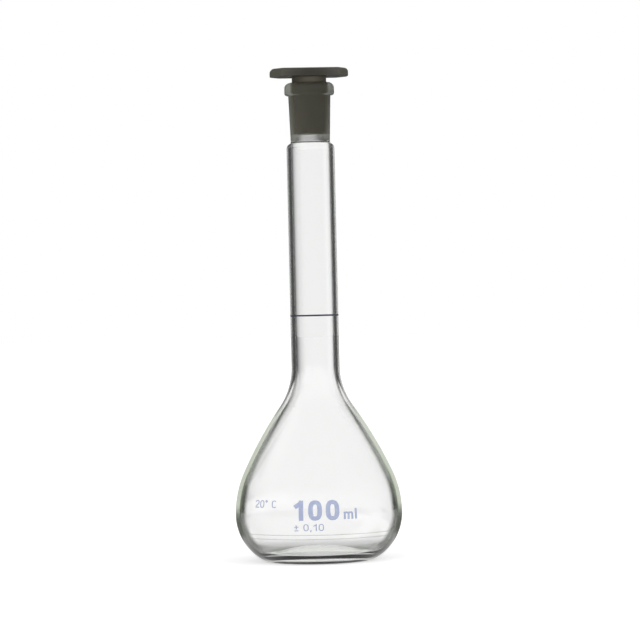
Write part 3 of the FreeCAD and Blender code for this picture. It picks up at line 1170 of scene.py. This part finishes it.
@dataclass
class GraduationRing:
    """The fired line round the neck."""

    finish: FiredEnamel

    def dress(self) -> Object:
        """Gives the ring its enamel."""
        return dress_node("graduation_ring", self.finish.material())


@dataclass
class Stopper:
    """The moulded stopper."""

    finish: MouldedPlastic

    def dress(self) -> Object:
        """Gives the stopper its plastic."""
        return dress_node("stopper", self.finish.material())


def dress_node(name: str, material: Material) -> Object:
    """Puts one finish on a solid of the frame.

    Args:
        name: the solid's name.
        material: its finish.

    Returns:
        The solid's object.
    """
    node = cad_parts[name]
    node.data.materials.clear()
    node.data.materials.append(material)
    return node


def aim(place: Spot, target: Spot) -> Matrix:
    """Stands a lamp or a camera upright at a place, facing a target."""
    turn = (Vector(target) - Vector(place)).to_track_quat("-Z", "Y")
    return Matrix.Translation(place) @ turn.to_matrix().to_4x4()


@dataclass
class Studio:
    """A white table in a white room, a black tent that only the glass sees, and soft lamps.

    Sizes in metres and degrees.
    """

    floor_reach: float = 6.0
    tent_radius: float = 2.0
    tent_height: float = 1.2
    tent_sides: int = 96
    room_level: float = 0.42
    lamp_power: float = 1.1
    lamp_spread: float = 70.0
    key_lamp: Spot = (-0.9, -1.1, 1.0)
    fill_lamp: Spot = (1.1, -0.7, 0.9)

    def build(self) -> None:
        """Sets up the table, the tent, the room and the lamps."""
        corners = np.array([[-1, -1, 0], [1, -1, 0], [1, 1, 0], [-1, 1, 0]]) * self.floor_reach
        face = np.array([[0, 1, 2, 3]])
        floor = new_object("floor", corners, (face,), WhiteFloor().material(), smooth=False)
        tent = self.tent()
        self.room()
        self.lamp("key_lamp", self.key_lamp)
        self.lamp("fill_lamp", self.fill_lamp)

    def tent(self) -> Object:
        """A cylinder open below: bearing round the axis by height, closed by a round roof.

        Returns:
            Its object.
        """
        sides = self.tent_sides
        turn = np.linspace(0, 2 * np.pi, sides, endpoint=False)
        ring = np.column_stack((np.sin(turn), np.cos(turn), np.zeros(sides))) * self.tent_radius
        top = np.array([0, 0, self.tent_height])
        low = np.arange(sides)
        after = np.roll(low, -1)
        walls = np.column_stack((low, after, after + sides, low + sides))
        roof = np.column_stack((low + sides, after + sides, np.full(sides, 2 * sides)))
        vertices = np.vstack((ring, ring + top, top))
        tent = new_object("tent", vertices, (walls, roof), BlackTent().material())
        tent.visible_camera = tent.visible_diffuse = tent.visible_shadow = False
        return tent

    def room(self) -> None:
        """The room: white where it is seen, and at a plain level where it lights."""
        world = bpy.data.worlds.new("room")
        bpy.context.scene.world = world
        graph = Graph(world)
        dim, bright = (
            graph.node("ShaderNodeBackground", {"Color": (1.0, 1.0, 1.0), "Strength": level})
            for level in (self.room_level, 1.0))
        light = graph.blend(graph.seen(), dim, bright)
        graph.node("ShaderNodeOutputWorld", {"Surface": light.outputs[0]})

    def lamp(self, name: str, place: Spot) -> None:
        """A wide, even lamp that shows in no reflection.

        Args:
            name: what it is called.
            place: where it stands; it shines towards the origin.
        """
        data = bpy.data.lights.new(name, "SUN")
        data.energy = self.lamp_power
        data.angle = math.radians(self.lamp_spread)
        lamp = bpy.data.objects.new(name, data)
        lamp.matrix_world = aim(place, (0.0, 0.0, 0.0))
        lamp.visible_glossy = lamp.visible_transmission = lamp.visible_camera = False
        bpy.context.scene.collection.objects.link(lamp)


@dataclass
class Viewpoint:
    """The photograph's camera.

    Sizes in millimetres and degrees; scale, offset and picture in pixels, and the clip in metres.
    """

    distance: float = 1100.0
    height: float = 95.0
    scale: float = 2.775
    centre_height: float = 86.5
    axis_offset: float = 5.5
    roll: float = 1.33
    picture: int = 640
    sensor: float = 36.0
    clip: Pair = (0.01, 50.0)

    def build(self) -> None:
        """Stands the camera in front of the flask, a little turned about its own line of sight."""
        data = bpy.data.cameras.new("camera")
        data.sensor_width = self.sensor
        data.lens = self.scale * self.distance / self.picture * self.sensor
        data.clip_start, data.clip_end = self.clip
        eye = (0.0, -self.distance * MM, self.height * MM)
        target = (self.axis_offset / self.scale * MM, 0.0, self.centre_height * MM)
        camera = bpy.data.objects.new("camera", data)
        roll = Matrix.Rotation(-math.radians(self.roll), 4, "Z")
        camera.matrix_world = aim(eye, target) @ roll
        bpy.context.scene.collection.objects.link(camera)
        bpy.context.scene.camera = camera


BULB_PRINT = FiredEnamel("blue_print", (0.44, 0.50, 0.70), (0.52, 0.57, 0.75))
NECK_LINE = FiredEnamel("blue_line", (0.05, 0.055, 0.10), (0.07, 0.075, 0.13))
BOLD, MEDIUM, PLAIN = Pen(0.21), Pen(0.17), Pen(0.13)
PRINTS = (
    Print("volume_number", "100", cap_height=7.1, first_turn=-17.3, last_turn=13.9,
          baseline=16.4, pen=BOLD, spacing=0.16),
    Print("volume_unit", "ml", cap_height=3.7, first_turn=16.8, last_turn=26.4,
          baseline=16.6, pen=MEDIUM),
    Print("tolerance", "± 0,10", cap_height=2.5, first_turn=-17.3, last_turn=3.2,
          baseline=12.7, pen=PLAIN),
    Print("temperature", "20° C", cap_height=2.7, first_turn=-48.9, last_turn=-30.0,
          baseline=20.8, pen=PLAIN),
)


def main() -> None:
    """Builds the glass, its marks, the stopper and the studio."""
    logging.basicConfig(level=logging.INFO, format="%(message)s")
    bpy.context.scene.view_settings.view_transform = "Standard"
    glass = BlownGlass()
    pieces = [glass.build(ClearGlass().material())]
    enamel = BULB_PRINT.material()
    pieces += [line.build(glass, enamel) for line in PRINTS]
    pieces.append(GraduationRing(NECK_LINE).dress())
    pieces.append(Stopper(MouldedPlastic()).dress())
    Studio().build()
    Viewpoint().build()
    for piece in pieces:
        log.info("%s: %d faces", piece.name, len(piece.data.polygons))


if __name__ == "__main__":
    main()
